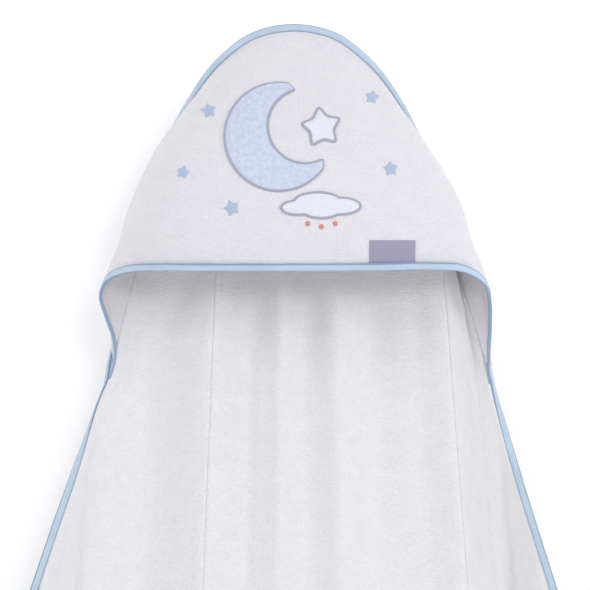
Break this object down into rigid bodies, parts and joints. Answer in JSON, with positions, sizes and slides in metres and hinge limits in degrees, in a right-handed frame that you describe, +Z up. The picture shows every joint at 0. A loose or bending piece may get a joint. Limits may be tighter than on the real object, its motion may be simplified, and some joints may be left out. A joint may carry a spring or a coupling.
{
  "type": "hooded baby towel",
  "caption": "Hooded baby bath towel of white terry with pale blue bound edges, hung by the crown of its filled-out hood, with a moon and star applique on the hood",
  "frame": {"origin": "top of the hood's seam, at its crown, where the towel is held up", "axes": "+Z up, the towel hangs down from the origin; +X to the right of someone who faces the hood; the hood's opening faces -Y"},
  "size_m": [0.675, 0.1576, 1.3346],
  "materials": {
    "towel_body": "white cotton terry, loops on both sides",
    "hood_front": "white cotton terry, loops on both sides",
    "edge_binding": "pale blue cotton bias tape, folded and stitched",
    "hood_binding": "pale blue cotton bias tape, folded and stitched",
    "label_tab": "grey woven satin, blank",
    "applique_moon": "pale blue short plush, satin stitched edge",
    "applique_star": "white satin, satin stitched edge",
    "applique_cloud": "white satin, satin stitched edge",
    "small_star_1": "pale blue embroidery",
    "small_star_2": "pale blue embroidery",
    "small_star_3": "pale blue embroidery",
    "small_star_4": "pale blue embroidery",
    "small_star_5": "pale blue embroidery"
  },
  "bodies": {
    "root": {"towel_body": "towel_body", "hood_front": "hood_front", "edge_binding": "edge_binding", "hood_binding": "hood_binding", "label_tab": "label_tab", "applique_moon": "applique_moon", "applique_star": "applique_star", "applique_cloud": "applique_cloud", "small_star_1": "small_star_1", "small_star_2": "small_star_2", "small_star_3": "small_star_3", "small_star_4": "small_star_4", "small_star_5": "small_star_5"}
  },
  "joints": []
}
